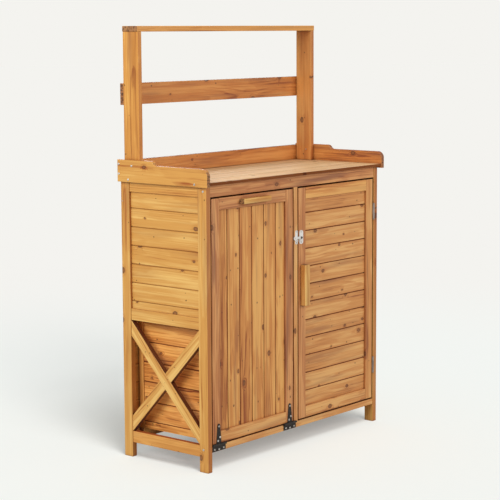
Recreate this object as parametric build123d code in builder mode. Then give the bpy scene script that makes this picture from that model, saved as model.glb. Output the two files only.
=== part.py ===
from build123d import *
import os
from math import acos, atan2, degrees, hypot

# Potting bench: a two-door cupboard with a worktop, a low gallery round it and an open rack above.
# Millimetres. +Z is up, +Y points to the back, +X to the right as seen from the front.
# The origin is on the floor, under the middle of the bench's outline.

os.makedirs("parts", exist_ok=True)

# ---- overall sizes
total_height = 1400.0
leg_outer = 453.0          # outer faces of the legs, left and right of the centre
front = -174.0             # front faces of the legs
rear = 192.0               # rear faces of the legs
gallery_overhang = 18.0    # side boards in front of the legs
top_overhang = 15.0        # worktop in front of the legs

# ---- timber sections
leg_x = 20.0               # the narrow sides of the legs face the front
leg_y = 36.0
leg_inner = leg_outer - leg_x
rail_thick = 18.0
rail_wide = 38.0
front_rail_high = 20.0
cleat = 20.0
frame_thick = 20.0         # doors, apron and niche wall
setback = 1.5              # doors, apron and front rail sit this far behind the legs' faces
side_setback = leg_x - rail_thick
slat_thick = 9.0
slat_recess = 7.0          # slats behind the faces of their frame
slat_pitch = 60.4
groove_deep = 7.0          # slats stand in grooves in their frame
slat_entry = 6.0           # and reach this far into them
groove_play = 0.1          # on each side of a slat or tenon
tenon_shoulder = 7.0       # rails reach into the grooves with a tenon this far from their edges
edge_round = 1.5
thin_round = 1.0           # on thin boards and the brace

# ---- levels
worktop_thick = 9.0
worktop_top = 920.0
leg_high = worktop_top - worktop_thick
top_rail_low = leg_high - rail_wide
middle_rail_low = 455.5
middle_rail_top = middle_rail_low + rail_wide
low_rail_low = 48.5
low_rail_top = low_rail_low + rail_wide
front_rail_low = 63.0
front_rail_top = front_rail_low + front_rail_high
door_low = 88.0
door_top = 868.0

# ---- positions across the front
centre_left = -16.0
centre_right = centre_left + leg_x
door_gap = 5.0
left_door = (-leg_inner + door_gap, centre_left - door_gap)
right_door = (centre_right + door_gap, leg_inner - door_gap)
door_face = front + setback
door_back = door_face + frame_thick
rear_rail_face = rear - side_setback
rear_rail_inside = rear_rail_face - rail_thick
side_rail_face = leg_outer - side_setback
front_leg_back = front + leg_y
rear_leg_front = rear - leg_y


def middle(low, high):
    """The value halfway between two others."""
    return (low + high) / 2


def block(low, high, mode=Mode.ADD):
    """A box between two opposite corners, added to or cut from the piece being built."""
    centre = tuple(middle(a, b) for a, b in zip(low, high))
    size = tuple(b - a for a, b in zip(low, high))
    with Locations(centre):
        Box(*size, mode=mode)


def save(piece, name):
    """Label a finished piece and write it under its name."""
    piece.part.label = name
    export_step(piece.part, f"parts/{name}.step")


def make_board(name, low, high, cuts=(), tenons=(), rounding=edge_round):
    """One length of timber with eased edges.

    Each tenon is a box that runs through the timber and past both ends, and each cut is a box taken out.
    """
    with BuildPart() as board:
        block(low, high)
        fillet(board.edges(), rounding)
        for tenon_low, tenon_high in tenons:
            block(tenon_low, tenon_high)
        for cut_low, cut_high in cuts:
            block(cut_low, cut_high, Mode.SUBTRACT)
    save(board, name)


def slat_layer(face, inwards):
    """Where slats and tenons lie behind a frame's face, lower value first. Inwards is +1 or -1."""
    slat_front = face + inwards * slat_recess
    return sorted((slat_front, slat_front + inwards * slat_thick))


def groove_layer(face, inwards):
    """The slats' layer with the groove's play on both sides."""
    low, high = slat_layer(face, inwards)
    return low - groove_play, high + groove_play


# ---- tongue-and-groove slats
slat_gap = 0.2             # left between neighbours
slat_bevel = 2.5           # bevels on the front edges make the grooves that show
tongue_long = 4.0
tongue_thick = 3.0
tongue_play = 0.2


def slat_outline(pitch):
    """Section of one slat, from x = 0. Its front is at y = 0, and its tongue is at the far edge."""
    wide = pitch - slat_gap
    tongue_front = -(slat_thick - tongue_thick) / 2
    tongue_back = tongue_front - tongue_thick
    slot_front = tongue_front + tongue_play
    slot_back = tongue_back - tongue_play
    slot_deep = tongue_long + tongue_play
    return [
        (slat_bevel, 0),
        (wide - slat_bevel, 0),
        (wide, -slat_bevel),
        (wide, tongue_front),
        (wide + tongue_long, tongue_front),
        (wide + tongue_long, tongue_back),
        (wide, tongue_back),
        (wide, -slat_thick),
        (0, -slat_thick),
        (0, slot_back),
        (slot_deep, slot_back),
        (slot_deep, slot_front),
        (0, slot_front),
        (0, -slat_bevel),
    ]


def make_slats(name, plane, first, count, length, area, cuts=(), pitch=slat_pitch):
    """A panel of slats side by side along the plane's x, their fronts at its y = 0, running along its z.

    The area is the box that the panel fills, its edges in the frame's grooves. Cuts are boxes taken out.
    """
    with BuildPart() as panel:
        with BuildSketch(plane):
            for index in range(count):
                with Locations((first + index * pitch, 0)):
                    Polygon(*slat_outline(pitch), align=None)
        extrude(amount=length)
        block(*area, Mode.INTERSECT)
        for cut_low, cut_high in cuts:
            block(cut_low, cut_high, Mode.SUBTRACT)
    save(panel, name)


# ---- layers of the panels and the boxes cut or added in them
upper_slats = (middle_rail_top - slat_entry, top_rail_low + slat_entry)
lower_slats = (low_rail_top - slat_entry, middle_rail_low + slat_entry)
all_slats = (lower_slats[0], upper_slats[1])
end_play = groove_deep - slat_entry
side_rails = {"bottom": low_rail_low, "middle": middle_rail_low, "top": top_rail_low}


def side_box(side, layer, y_span, z_span):
    """A box in the layer of a side panel. Side is -1 on the left and +1 on the right."""
    x_span = layer(side * side_rail_face, -side)
    return tuple(zip(x_span, y_span, z_span))


def rear_box(layer, x_span, z_span):
    """A box in the layer of the rear panel."""
    return tuple(zip(x_span, layer(rear_rail_face, -1), z_span))


def grown(span, amount):
    """A span made longer at both ends."""
    return span[0] - amount, span[1] + amount


def tenon_span(rail_low):
    """The height that the tenon of a rail takes up."""
    return rail_low + tenon_shoulder, rail_low + rail_wide - tenon_shoulder


# ---- legs, with grooves for the panels and mortises for the rails
for side, side_name in ((-1, "left"), (1, "right")):
    leg_span = sorted((side * leg_outer, side * leg_inner))
    groove_spans = [grown(upper_slats, end_play)]
    groove_spans += [grown(tenon_span(rail_low), groove_play) for rail_low in side_rails.values()]
    if side > 0:
        groove_spans.append(grown(lower_slats, end_play))
    front_groove_y = (front_leg_back - groove_deep, front_leg_back)
    make_board(
        f"leg_front_{side_name}",
        (leg_span[0], front, 0),
        (leg_span[1], front_leg_back, leg_high),
        cuts=[side_box(side, groove_layer, front_groove_y, span) for span in groove_spans],
    )
    rear_groove_y = (rear_leg_front, rear_leg_front + groove_deep)
    inner_groove_x = sorted((side * leg_inner, side * (leg_inner + groove_deep)))
    rear_groove_z = (tenon_span(low_rail_low)[0] - groove_play, tenon_span(top_rail_low)[1] + groove_play)
    make_board(
        f"leg_rear_{side_name}",
        (leg_span[0], rear_leg_front, 0),
        (leg_span[1], rear, leg_high),
        cuts=[side_box(side, groove_layer, rear_groove_y, span) for span in groove_spans]
        + [rear_box(groove_layer, inner_groove_x, rear_groove_z)],
    )

# ---- front frame
make_board("apron", (-leg_inner, door_face, top_rail_low), (leg_inner, door_back, leg_high))
front_rail_back = door_face + leg_y
make_board(
    "front_bottom_rail",
    (-leg_inner, door_face, front_rail_low),
    (leg_inner, front_rail_back, front_rail_top),
)
make_board(
    "centre_stile",
    (centre_left, door_face, front_rail_top),
    (centre_right, front_rail_back, top_rail_low),
)

# ---- side rails
between_legs = (front_leg_back, rear_leg_front)
for side, side_name in ((-1, "left"), (1, "right")):
    rail_span = sorted((side * side_rail_face, side * leg_inner))
    for rail_name, rail_low in side_rails.items():
        rail_top = rail_low + rail_wide
        groove_spans = []
        if rail_name == "middle":
            groove_spans.append((rail_top - groove_deep, rail_top))
        if rail_name == "top":
            groove_spans.append((rail_low, rail_low + groove_deep))
        if rail_name == "middle" and side > 0:
            groove_spans.append((rail_low, rail_low + groove_deep))
        if rail_name == "bottom" and side > 0:
            groove_spans.append((rail_top - groove_deep, rail_top))
        make_board(
            f"{side_name}_{rail_name}_rail",
            (rail_span[0], front_leg_back, rail_low),
            (rail_span[1], rear_leg_front, rail_top),
            cuts=[side_box(side, groove_layer, between_legs, span) for span in groove_spans],
            tenons=[side_box(side, slat_layer, grown(between_legs, slat_entry), tenon_span(rail_low))],
        )

# ---- side panels
highest_side_joint = 820.0     # between slats
left_slat_count = 7
make_slats(
    "left_panel_slats",
    Plane(origin=(slat_recess - side_rail_face, rear, 0), x_dir=(0, 0, 1), z_dir=(0, -1, 0)),
    highest_side_joint - (left_slat_count - 1) * slat_pitch,
    left_slat_count,
    rear - front,
    side_box(-1, slat_layer, grown(between_legs, slat_entry), upper_slats),
)
right_lower_count = 7
right_upper_count = 7
make_slats(
    "right_panel_slats",
    Plane(origin=(side_rail_face - slat_recess, front, 0), x_dir=(0, 0, 1), z_dir=(0, 1, 0)),
    middle(*lower_slats) - right_lower_count / 2 * slat_pitch,
    right_lower_count + right_upper_count,
    rear - front,
    side_box(1, slat_layer, grown(between_legs, slat_entry), all_slats),
    cuts=[side_box(1, slat_layer, (front, rear), (lower_slats[1], upper_slats[0]))],
)

# ---- rear frame and panel
rear_span = (-leg_inner, leg_inner)
rear_stile_half = rail_wide / 2
make_board(
    "rear_top_rail",
    (-leg_inner, rear_rail_inside, top_rail_low),
    (leg_inner, rear_rail_face, leg_high),
    cuts=[rear_box(groove_layer, rear_span, (top_rail_low, top_rail_low + groove_deep))],
    tenons=[rear_box(slat_layer, grown(rear_span, slat_entry), tenon_span(top_rail_low))],
)
make_board(
    "rear_bottom_rail",
    (-leg_inner, rear_rail_inside, low_rail_low),
    (leg_inner, rear_rail_face, low_rail_top),
    cuts=[rear_box(groove_layer, rear_span, (low_rail_top - groove_deep, low_rail_top))],
    tenons=[rear_box(slat_layer, grown(rear_span, slat_entry), tenon_span(low_rail_low))],
)
between_rear_rails = (low_rail_top, top_rail_low)
tenon_x = (tenon_shoulder - rear_stile_half, rear_stile_half - tenon_shoulder)
make_board(
    "rear_centre_stile",
    (-rear_stile_half, rear_rail_inside, low_rail_top),
    (rear_stile_half, rear_rail_face, top_rail_low),
    cuts=[
        rear_box(groove_layer, (-rear_stile_half, groove_deep - rear_stile_half), between_rear_rails),
        rear_box(groove_layer, (rear_stile_half - groove_deep, rear_stile_half), between_rear_rails),
    ],
    tenons=[rear_box(slat_layer, tenon_x, grown(between_rear_rails, slat_entry))],
)
stile_middle = slat_entry - rear_stile_half
rear_slat_count = 14
rear_first_slat = middle(*all_slats) - rear_slat_count / 2 * slat_pitch
make_slats(
    "rear_panel_slats",
    Plane(origin=(leg_outer, rear_rail_face - slat_recess, 0), x_dir=(0, 0, 1), z_dir=(-1, 0, 0)),
    rear_first_slat,
    rear_slat_count,
    2 * leg_outer,
    rear_box(slat_layer, grown(rear_span, slat_entry), all_slats),
    cuts=[rear_box(slat_layer, (stile_middle, -stile_middle), (0, worktop_top))],
)

# ---- X brace in the open lower part of the left side
brace_wide = 35.0
brace_thick = rail_thick
brace_half_y = (rear_leg_front - front_leg_back) / 2
brace_half_z = (middle_rail_low - low_rail_top) / 2
brace_y = middle(front_leg_back, rear_leg_front)
brace_z = middle(low_rail_top, middle_rail_low)
# the bars' edges meet the corners of the window between the legs and the rails
brace_angle = degrees(
    acos(brace_wide / 2 / hypot(brace_half_y, brace_half_z)) - atan2(brace_half_y, brace_half_z)
)
brace_plane = Plane.YZ.offset(-leg_inner - brace_thick)
brace_long_enough = 2 * (brace_half_y + brace_half_z)

with BuildPart() as brace_long:
    with BuildSketch(brace_plane):
        with Locations((brace_y, brace_z)):
            Rectangle(brace_long_enough, brace_wide, rotation=brace_angle)
            Rectangle(2 * brace_half_y, 2 * brace_half_z, mode=Mode.INTERSECT)
    extrude(amount=brace_thick)
    fillet(brace_long.edges(), thin_round)
save(brace_long, "brace_long")

with BuildPart() as brace_halves:
    with BuildSketch(brace_plane):
        with Locations((brace_y, brace_z)):
            Rectangle(brace_long_enough, brace_wide, rotation=-brace_angle)
            Rectangle(2 * brace_half_y, 2 * brace_half_z, mode=Mode.INTERSECT)
            Rectangle(brace_long_enough, brace_wide, rotation=brace_angle, mode=Mode.SUBTRACT)
    extrude(amount=brace_thick)
    fillet(brace_halves.edges(), thin_round)
save(brace_halves, "brace_halves")

# ---- inner wall and top of the niche behind the brace
wall_face = -402.0             # the side towards the niche
wall_back = wall_face + frame_thick
wall_stile_y = cleat
wall_play = 0.5                # in front of and behind the wall
wall_front = front_rail_back + wall_play
wall_rear = rear_rail_inside - wall_play
niche_top = 470.0
wall_board_recess = 4.0
wall_board_pitch = 66.3
lowest_wall_joint = 112.0
wall_board_count = 7
wall_boards_x = (wall_face + wall_board_recess, wall_face + wall_board_recess + slat_thick)
wall_grooves_x = grown(wall_boards_x, groove_play)
wall_between = (wall_front + wall_stile_y, wall_rear - wall_stile_y)

with BuildPart() as niche_stiles:
    block((wall_face, wall_front, door_low), (wall_back, wall_between[0], niche_top))
    block((wall_face, wall_between[1], door_low), (wall_back, wall_rear, niche_top))
    fillet(niche_stiles.edges(), edge_round)
    groove_low, groove_high = zip(wall_grooves_x, grown(wall_between, groove_deep), (door_low, niche_top))
    block(groove_low, groove_high, Mode.SUBTRACT)
save(niche_stiles, "niche_stiles")

make_slats(
    "niche_wall_boards",
    Plane(origin=(wall_boards_x[0], rear, 0), x_dir=(0, 0, 1), z_dir=(0, -1, 0)),
    lowest_wall_joint - wall_board_pitch,
    wall_board_count,
    rear - front,
    tuple(zip(wall_boards_x, grown(wall_between, slat_entry), (door_low, niche_top))),
    pitch=wall_board_pitch,
)
make_board(
    "niche_top_board",
    (-leg_inner, wall_front, niche_top),
    (wall_back, wall_rear, niche_top + slat_thick),
    rounding=thin_round,
)

# ---- cupboard floor: boards from front to back on two cleats
floor_thick = 10.0
floor_board_count = 12
floor_gap = 1.0
floor_pitch = (leg_inner - wall_back) / floor_board_count
with BuildPart() as floor_boards:
    for index in range(floor_board_count):
        board_left = wall_back + index * floor_pitch + floor_gap / 2
        board_right = board_left + floor_pitch - floor_gap
        block((board_left, wall_front, door_low), (board_right, wall_rear, door_low + floor_thick))
    fillet(floor_boards.edges(), thin_round)
save(floor_boards, "floor_boards")

cleat_low = door_low - cleat
with BuildPart() as floor_cleats:
    block((wall_face, front_rail_back, cleat_low), (leg_inner, front_rail_back + cleat, door_low))
    block((wall_face, rear_rail_inside - cleat, cleat_low), (leg_inner, rear_rail_inside, door_low))
    fillet(floor_cleats.edges(), edge_round)
save(floor_cleats, "floor_cleats")

# ---- worktop planks
plank_count = 4
plank_gap = 0.2
plank_pitch = (rear - front + top_overhang) / plank_count
plank_round = 0.8
with BuildPart() as table_top:
    for index in range(plank_count):
        plank_front = front - top_overhang + index * plank_pitch
        plank_back = plank_front + plank_pitch - (plank_gap if index < plank_count - 1 else 0)
        block((-leg_outer, plank_front, leg_high), (leg_outer, plank_back, worktop_top))
    fillet(table_top.edges(), plank_round)
save(table_top, "table_top")

# ---- side boards of the gallery, low at the front, with an S-shaped step up to the rear part
side_board_thick = 15.0
side_board_low = 905.5
side_board_top = 976.5
side_board_shoulder = 962.5
step_start = 196.0             # behind the legs' faces
step_long = 26.0
step_front = front + step_start
step_rear = step_front + step_long
corner_radius = 22.0
side_board_front = front - gallery_overhang
step_middle = (middle(step_front, step_rear), middle(side_board_shoulder, side_board_top))
step_end = (step_front, side_board_shoulder)

for name, inner_x in (("side_board_left", -leg_outer - side_board_thick), ("side_board_right", leg_outer)):
    with BuildPart() as side_board:
        with BuildSketch(Plane.YZ.offset(inner_x)):
            with BuildLine():
                outline = Polyline(
                    (side_board_front, side_board_shoulder - corner_radius),
                    (side_board_front, side_board_low),
                    (rear, side_board_low),
                    (rear, side_board_top),
                    (step_rear, side_board_top),
                )
                upper_bend = TangentArc(outline @ 1, step_middle, tangent=(-1, 0))
                lower_bend = TangentArc(step_middle, step_end, tangent=upper_bend % 1)
                shoulder = Line(lower_bend @ 1, (side_board_front + corner_radius, side_board_shoulder))
                TangentArc(shoulder @ 1, outline @ 0, tangent=(-1, 0))
            make_face()
        extrude(amount=side_board_thick)
        side_faces = side_board.faces().filter_by(Axis.X)
        fillet(side_faces.edges(), edge_round)
    save(side_board, name)

# ---- back board and rack
rack_setback = 18.0            # posts and back board end this far in front of the rear
back_face = rear - rack_setback
back_board_thick = 15.0
back_board_rear = back_face + back_board_thick
back_board_top = 973.0
post_x = 16.5
post_y = 67.0
post_front = back_face - post_y
top_board_thick = 18.0
top_board_end = 2.0            # past the posts at each end
cross_slat_low = 1150.0
cross_slat_wide = 69.0
make_board(
    "back_board",
    (-leg_outer, back_face, worktop_top),
    (leg_outer, back_board_rear, back_board_top),
)
make_board(
    "cross_slat",
    (-leg_outer, back_face, cross_slat_low),
    (leg_outer, back_board_rear, cross_slat_low + cross_slat_wide),
)
for side, side_name in ((-1, "left"), (1, "right")):
    post_span = sorted((side * leg_outer, side * (leg_outer - post_x)))
    make_board(
        f"post_{side_name}",
        (post_span[0], post_front, worktop_top),
        (post_span[1], back_face, total_height - top_board_thick),
    )
make_board(
    "top_board",
    (-leg_outer - top_board_end, post_front, total_height - top_board_thick),
    (leg_outer + top_board_end, back_face, total_height),
)

# ---- doors: two stiles with two rails between them, round a panel of slats
door_layer = slat_layer(door_face, 1)
door_grooves = groove_layer(door_face, 1)
door_rails = {"bottom": door_low, "top": door_top - rail_wide}
door_groove_z = (door_low + tenon_shoulder - groove_play, door_top - tenon_shoulder + groove_play)
door_panel_z = (door_low + rail_wide - slat_entry, door_top - rail_wide + slat_entry)

for door_name, (door_left, door_right) in (("left_door", left_door), ("right_door", right_door)):
    inside = (door_left + rail_wide, door_right - rail_wide)
    stiles = {"left": (door_left, inside[0]), "right": (inside[1], door_right)}
    for stile_name, (stile_left, stile_right) in stiles.items():
        if stile_name == "left":
            groove_x = (stile_right - groove_deep, stile_right)
        else:
            groove_x = (stile_left, stile_left + groove_deep)
        make_board(
            f"{door_name}_{stile_name}_stile",
            (stile_left, door_face, door_low),
            (stile_right, door_back, door_top),
            cuts=[tuple(zip(groove_x, door_grooves, door_groove_z))],
        )
    for rail_name, rail_low in door_rails.items():
        rail_top = rail_low + rail_wide
        if rail_name == "bottom":
            groove_z = (rail_top - groove_deep, rail_top)
        else:
            groove_z = (rail_low, rail_low + groove_deep)
        make_board(
            f"{door_name}_{rail_name}_rail",
            (inside[0], door_face, rail_low),
            (inside[1], door_back, rail_top),
            cuts=[tuple(zip(inside, door_grooves, groove_z))],
            tenons=[tuple(zip(grown(inside, slat_entry), door_layer, tenon_span(rail_low)))],
        )

left_door_slat_count = 6
left_panel = (left_door[0] + rail_wide - slat_entry, left_door[1] - rail_wide + slat_entry)
make_slats(
    "left_door_slats",
    Plane(origin=(0, door_layer[0], door_top), x_dir=(1, 0, 0), z_dir=(0, 0, -1)),
    middle(*left_door) - left_door_slat_count / 2 * slat_pitch,
    left_door_slat_count,
    door_top - door_low,
    tuple(zip(left_panel, door_layer, door_panel_z)),
)
right_door_slat_count = 12
right_door_joint = 480.4       # one of the joints between slats
joints_below = 6
right_panel = (right_door[0] + rail_wide - slat_entry, right_door[1] - rail_wide + slat_entry)
make_slats(
    "right_door_slats",
    Plane(origin=(right_door[0], door_layer[0], 0), x_dir=(0, 0, 1), z_dir=(1, 0, 0)),
    right_door_joint - joints_below * slat_pitch,
    right_door_slat_count,
    right_door[1] - right_door[0],
    tuple(zip(right_panel, door_layer, door_panel_z)),
)

# ---- bar handles
handle_round = 3.0
handle_front = front - 18.0
left_handle_low = (-291.0, handle_front, 841.0)
left_handle_high = (-154.0, door_face, 858.0)
right_handle_low = (20.0, handle_front, 473.5)
right_handle_high = (47.0, door_face, 611.5)
for name, low, high in (
    ("left_door_handle", left_handle_low, left_handle_high),
    ("right_door_handle", right_handle_low, right_handle_high),
):
    with BuildPart() as handle:
        block(low, high)
        back_edges = handle.faces().sort_by(Axis.Y)[-1].edges()
        fillet(handle.edges() - back_edges, handle_round)
    save(handle, name)

# ---- T hinges: straps on the drop-down door, plates on the front rail
t_hinge_x = (-401.0, -41.0)
t_axis_proud = 2.3             # in front of the legs' faces
t_axis_y = front - t_axis_proud
t_axis_z = 85.0
t_leaf_thick = 1.8
t_barrel_radius = 3.5
t_pin_radius = 1.5
pin_clearance = 0.05
knuckle_gap = 0.3
t_plate_half = 32.0
t_neck_half = 12.0
t_plate_low = 64.4
t_notch_top = 81.0
t_plate_round = 2.0
strap_tip_radius = 6.0
strap_tip_top = 152.0
t_head_radius = 2.2
t_head_long = 1.0
leaf_hole_radius = 2.2
strap_screws = ((0, 143.5), (5, 107.5), (-5, 97))
plate_screws = ((-21.5, 71.5), (21.5, 71.5), (0, 69.5))
t_leaf_plane = Plane.XZ.offset(-door_face)


def along_x(x):
    """A plane across the T hinges' axis, facing +X."""
    return Plane(origin=(x, t_axis_y, t_axis_z), z_dir=(1, 0, 0))


strap_neck_half = t_neck_half - knuckle_gap
from_below = (Align.CENTER, Align.MIN)
with BuildPart() as t_hinge_straps:
    for x in t_hinge_x:
        with BuildSketch(t_leaf_plane):
            with Locations((x, strap_tip_top - strap_tip_radius)):
                Circle(strap_tip_radius)
            with Locations((x, t_axis_z)):
                Rectangle(2 * strap_neck_half, t_barrel_radius, align=from_below)
            make_hull()
            with Locations(*[(x + dx, z) for dx, z in strap_screws]):
                Circle(leaf_hole_radius, mode=Mode.SUBTRACT)
        extrude(amount=t_leaf_thick)
        with Locations(along_x(x)):
            Cylinder(t_barrel_radius, 2 * strap_neck_half)
            Cylinder(t_pin_radius + pin_clearance, 2 * strap_neck_half, mode=Mode.SUBTRACT)
save(t_hinge_straps, "t_hinge_straps")

with BuildPart() as t_hinge_plates:
    for x in t_hinge_x:
        with BuildSketch(t_leaf_plane):
            with Locations((x, t_plate_low)):
                RectangleRounded(2 * t_plate_half, t_axis_z - t_plate_low, t_plate_round, align=from_below)
            with Locations(*[(x + dx, z) for dx, z in plate_screws]):
                Circle(leaf_hole_radius, mode=Mode.SUBTRACT)
        extrude(amount=t_leaf_thick)
        with Locations(along_x(x)):
            Cylinder(t_barrel_radius, 2 * t_plate_half)
            Cylinder(t_pin_radius + pin_clearance, 2 * t_plate_half, mode=Mode.SUBTRACT)
        notch_y = (t_axis_y - t_barrel_radius, door_face)
        notch_z = (t_notch_top, t_axis_z + t_barrel_radius)
        notch = tuple(zip((x - t_neck_half, x + t_neck_half), notch_y, notch_z))
        block(*notch, Mode.SUBTRACT)
save(t_hinge_plates, "t_hinge_plates")

# ---- butt hinges of the right door
butt_centres = (206.8, 754.2)
butt_high = 58.0
butt_axis_proud = 1.8          # in front of the legs' faces
butt_leaf_deep = 19.0          # behind them
butt_axis_x = middle(right_door[1], leg_inner)
butt_axis_y = front - butt_axis_proud
butt_barrel_radius = 2.8
butt_pin_radius = 1.2
butt_leaf_thick = 1.2
butt_leaf_back = front + butt_leaf_deep
butt_leaf_front = door_face
butt_knuckle = butt_high / 3
butt_screw_y = middle(butt_leaf_front, butt_leaf_back)
butt_screw_z = 19.0            # above and below the hinge's middle
sunk_head_radius = 2.8
sunk_shank_radius = 1.5


def butt_leaf(x_low, x_high, centre, knuckle_spans, screw_x, screw_side):
    """One leaf of a butt hinge: a plate in the door's gap, joined to its knuckles round the pin."""
    low = centre - butt_high / 2
    high = centre + butt_high / 2
    block((x_low, butt_leaf_front, low), (x_high, butt_leaf_back, high))
    for knuckle_low, knuckle_high in knuckle_spans:
        block((x_low, butt_axis_y, knuckle_low), (x_high, butt_leaf_front, knuckle_high))
        with Locations((butt_axis_x, butt_axis_y, middle(knuckle_low, knuckle_high))):
            Cylinder(butt_barrel_radius, knuckle_high - knuckle_low)
            Cylinder(butt_pin_radius + pin_clearance, knuckle_high - knuckle_low, mode=Mode.SUBTRACT)
    for z in (centre - butt_screw_z, centre + butt_screw_z):
        with Locations(Plane(origin=(screw_x, butt_screw_y, z), z_dir=(screw_side, 0, 0))):
            Cone(
                sunk_shank_radius,
                sunk_head_radius,
                butt_leaf_thick,
                align=(Align.CENTER, Align.CENTER, Align.MIN),
                mode=Mode.SUBTRACT,
            )


with BuildPart() as butt_hinge_door_leaves:
    for centre in butt_centres:
        knuckle = (centre - butt_knuckle / 2 + knuckle_gap, centre + butt_knuckle / 2 - knuckle_gap)
        butt_leaf(right_door[1], right_door[1] + butt_leaf_thick, centre, [knuckle], right_door[1], 1)
save(butt_hinge_door_leaves, "butt_hinge_door_leaves")

with BuildPart() as butt_hinge_frame_leaves:
    for centre in butt_centres:
        knuckles = [
            (centre - butt_high / 2, centre - butt_knuckle / 2),
            (centre + butt_knuckle / 2, centre + butt_high / 2),
        ]
        butt_leaf(leg_inner - butt_leaf_thick, leg_inner, centre, knuckles, leg_inner, -1)
save(butt_hinge_frame_leaves, "butt_hinge_frame_leaves")

with BuildPart() as hinge_pins:
    for x in t_hinge_x:
        with Locations(along_x(x)):
            Cylinder(t_pin_radius, 2 * t_plate_half)
        for end in (-1, 1):
            with Locations(along_x(x + end * (t_plate_half + t_head_long / 2))):
                Cylinder(t_head_radius, t_head_long)
    for centre in butt_centres:
        with Locations((butt_axis_x, butt_axis_y, centre)):
            Cylinder(butt_pin_radius, butt_high)
save(hinge_pins, "hinge_pins")

# ---- turn latch: plate, rivet and lever on the right door, keeper on the centre stile
latch_plate_thick = 1.5
latch_plate_front = door_face - latch_plate_thick
latch_z = 703.0
latch_plate_x = (12.0, 32.0)
latch_plate_z = (681.5, 727.5)
latch_plate_round = 8.0
latch_screws_z = (687.5, 721.5)
keeper_x = (-10.0, 2.6)
keeper_z = (682.5, 729.0)
keeper_round = 5.0
keeper_screws_z = (687.5, 723.5)
keeper_ledge_z = (692.5, 695.5)
keeper_ledge_inset = 1.0
keeper_ledge_deep = 3.5
rivet_x = 20.0
rivet_radius = 2.0
rivet_head_radius = 4.0
rivet_head_thick = 1.5
lever_gap = 0.3
lever_thick = 2.5
lever_back = latch_plate_front - lever_gap
lever_front = lever_back - lever_thick
lever_bar_high = 8.0
lever_hub_radius = 6.0
lever_tab_radius = 7.0
lever_tab_x = -12.5
lever_tab_hole = 2.0


def sunk_holes(points):
    """Countersunk screw holes through a latch plate whose front is at latch_plate_front."""
    for x, z in points:
        with Locations(Plane(origin=(x, door_face, z), z_dir=(0, -1, 0))):
            Cone(
                sunk_shank_radius,
                sunk_head_radius,
                latch_plate_thick,
                align=(Align.CENTER, Align.CENTER, Align.MIN),
                mode=Mode.SUBTRACT,
            )


latch_screws = [(middle(*latch_plate_x), z) for z in latch_screws_z]
keeper_screws = [(middle(*keeper_x), z) for z in keeper_screws_z]
with BuildPart() as latch_plate:
    with BuildSketch(Plane.XZ.offset(-door_face)):
        with Locations((middle(*latch_plate_x), middle(*latch_plate_z))):
            RectangleRounded(
                latch_plate_x[1] - latch_plate_x[0], latch_plate_z[1] - latch_plate_z[0], latch_plate_round
            )
        with Locations((rivet_x, latch_z)):
            Circle(rivet_radius, mode=Mode.SUBTRACT)
    extrude(amount=latch_plate_thick)
    sunk_holes(latch_screws)
save(latch_plate, "latch_plate")

with BuildPart() as latch_keeper:
    with BuildSketch(Plane.XZ.offset(-door_face)):
        with Locations((middle(*keeper_x), middle(*keeper_z))):
            RectangleRounded(keeper_x[1] - keeper_x[0], keeper_z[1] - keeper_z[0], keeper_round)
    extrude(amount=latch_plate_thick)
    sunk_holes(keeper_screws)
    block(
        (keeper_x[0] + keeper_ledge_inset, latch_plate_front - keeper_ledge_deep, keeper_ledge_z[0]),
        (keeper_x[1] - keeper_ledge_inset, latch_plate_front, keeper_ledge_z[1]),
    )
save(latch_keeper, "latch_keeper")

with BuildPart() as latch_lever:
    with BuildSketch(Plane.XZ.offset(-lever_back)):
        with Locations((middle(lever_tab_x, rivet_x), latch_z)):
            Rectangle(rivet_x - lever_tab_x, lever_bar_high)
        with Locations((rivet_x, latch_z)):
            Circle(lever_hub_radius)
        with Locations((lever_tab_x, latch_z)):
            Circle(lever_tab_radius)
            Circle(lever_tab_hole, mode=Mode.SUBTRACT)
        with Locations((rivet_x, latch_z)):
            Circle(rivet_radius + pin_clearance, mode=Mode.SUBTRACT)
    extrude(amount=lever_thick)
save(latch_lever, "latch_lever")

with BuildPart() as latch_rivet:
    with BuildSketch(Plane.XZ.offset(-door_face)):
        with Locations((rivet_x, latch_z)):
            Circle(rivet_radius)
    extrude(amount=door_face - lever_front + lever_gap)
    with BuildSketch(Plane.XZ.offset(lever_gap - lever_front)):
        with Locations((rivet_x, latch_z)):
            Circle(rivet_head_radius)
    extrude(amount=rivet_head_thick)
    fillet(latch_rivet.edges().group_by(Axis.Y)[0], rivet_head_thick / 2)
save(latch_rivet, "latch_rivet")

# ---- magnetic catch behind the apron, and its strike plate on the drop-down door
catch_half = 20.0
catch_x = middle(*left_door)
catch_deep = 14.5
catch_back = door_back + catch_deep
catch_low = 851.0
catch_top = 886.0
strike_low = 850.0
strike_top = 866.0
strike_thick = 1.0
strike_gap = 0.3
with BuildPart() as magnetic_catch:
    block((catch_x - catch_half, door_back, catch_low), (catch_x + catch_half, catch_back, catch_top))
    block(
        (catch_x - catch_half, door_back, catch_low),
        (catch_x + catch_half, door_back + strike_thick + strike_gap, top_rail_low),
        Mode.SUBTRACT,
    )
save(magnetic_catch, "magnetic_catch")
make_board(
    "strike_plate",
    (catch_x - catch_half, door_back, strike_low),
    (catch_x + catch_half, door_back + strike_thick, strike_top),
    rounding=strike_thick / 4,
)

# ---- screws
pan_shank_radius = 1.8
pan_head_radius = 3.6
pan_head_high = 2.4
small_head_radius = 3.2
small_head_high = 1.8
cross_long = 3.6
cross_wide = 0.9
cross_deep = 1.0
long_screw = 36.0
short_screw = 14.0
handle_screw = 32.0
handle_inset = 26.0            # screws of a handle from its ends
sunk_screw = 12.0
nail_head_radius = 1.6
nail_head_high = 0.3
nail_radius = 0.9
nail_long = 16.0


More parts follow.
